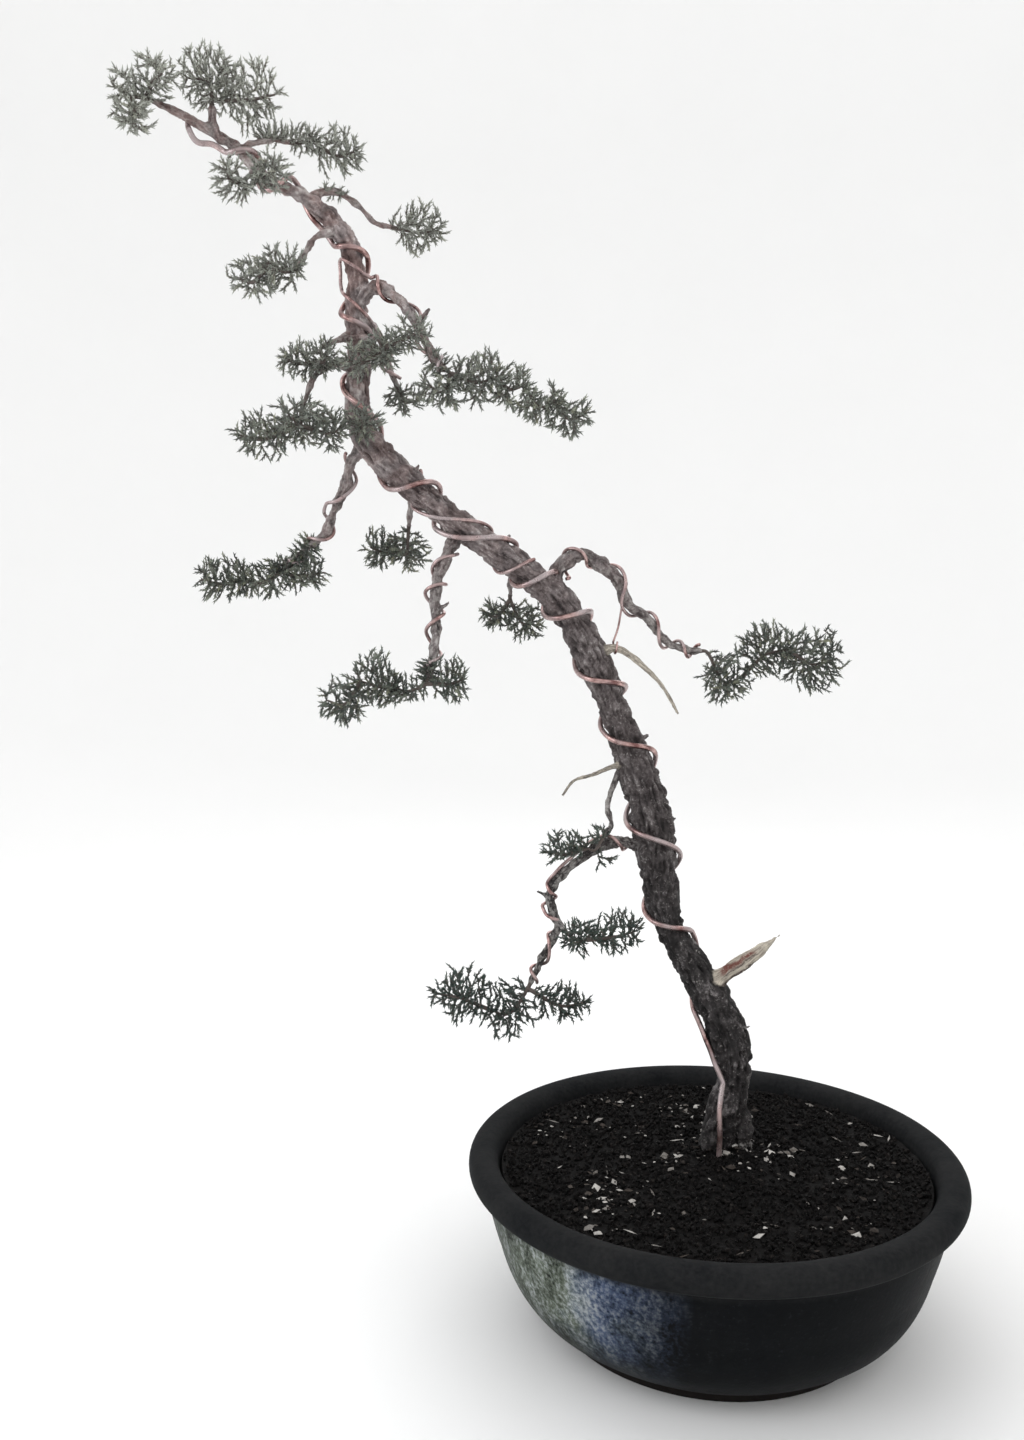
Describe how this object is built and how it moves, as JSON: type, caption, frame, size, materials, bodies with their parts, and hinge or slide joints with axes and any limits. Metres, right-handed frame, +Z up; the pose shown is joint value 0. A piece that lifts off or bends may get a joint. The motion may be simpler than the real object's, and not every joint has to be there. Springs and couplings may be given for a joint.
{
  "type": "literati bonsai",
  "caption": "Tall, slim, leaning juniper trained in copper wire, with small needled sprays, stripped dead twigs and a round glazed pot of dark soil.",
  "frame": {"origin": "middle of the whole outline on the table, at the foot of the pot", "axes": "+Z up along the height, +X to the right of the front, where the pot stands, and +Y to the back"},
  "size_m": [0.4432, 0.27, 0.6695],
  "materials": {
    "glaze": "dark slate glaze, glossy with a drier lip",
    "screen": "matt moulded mesh",
    "soil": "loose dark grit with pale chips",
    "bark": "rough flaking bark, with pale stripped dead wood",
    "leaf": "dull dark green needles",
    "copper": "tarnished annealed copper"
  },
  "bodies": {
    "root": {"pot": "glaze", "drain_screen": "screen", "soil": "soil", "tree": "bark", "trunk_wire": "copper", "upper_wire": "copper", "left_low_wire": "copper", "hanging_wire": "copper", "right_low_wire": "copper", "right_upper_wire": "copper", "cascade_wire": "copper", "guy_wire": "copper", "spray_crown_left": "leaf", "spray_crown": "leaf", "spray_right_crown": "leaf", "spray_front_high": "leaf", "spray_right_high": "leaf", "spray_left_high": "leaf", "spray_left_knot": "leaf", "spray_right_knot": "leaf", "spray_right_inner": "leaf", "spray_right_upper": "leaf", "spray_left_mid": "leaf", "spray_tuft": "leaf", "spray_left_low": "leaf", "spray_under_fork": "leaf", "spray_hanging": "leaf", "spray_under_bend": "leaf", "spray_right_low": "leaf", "spray_left_shelf": "leaf", "spray_cascade_side": "leaf", "spray_cascade": "leaf"}
  },
  "joints": []
}
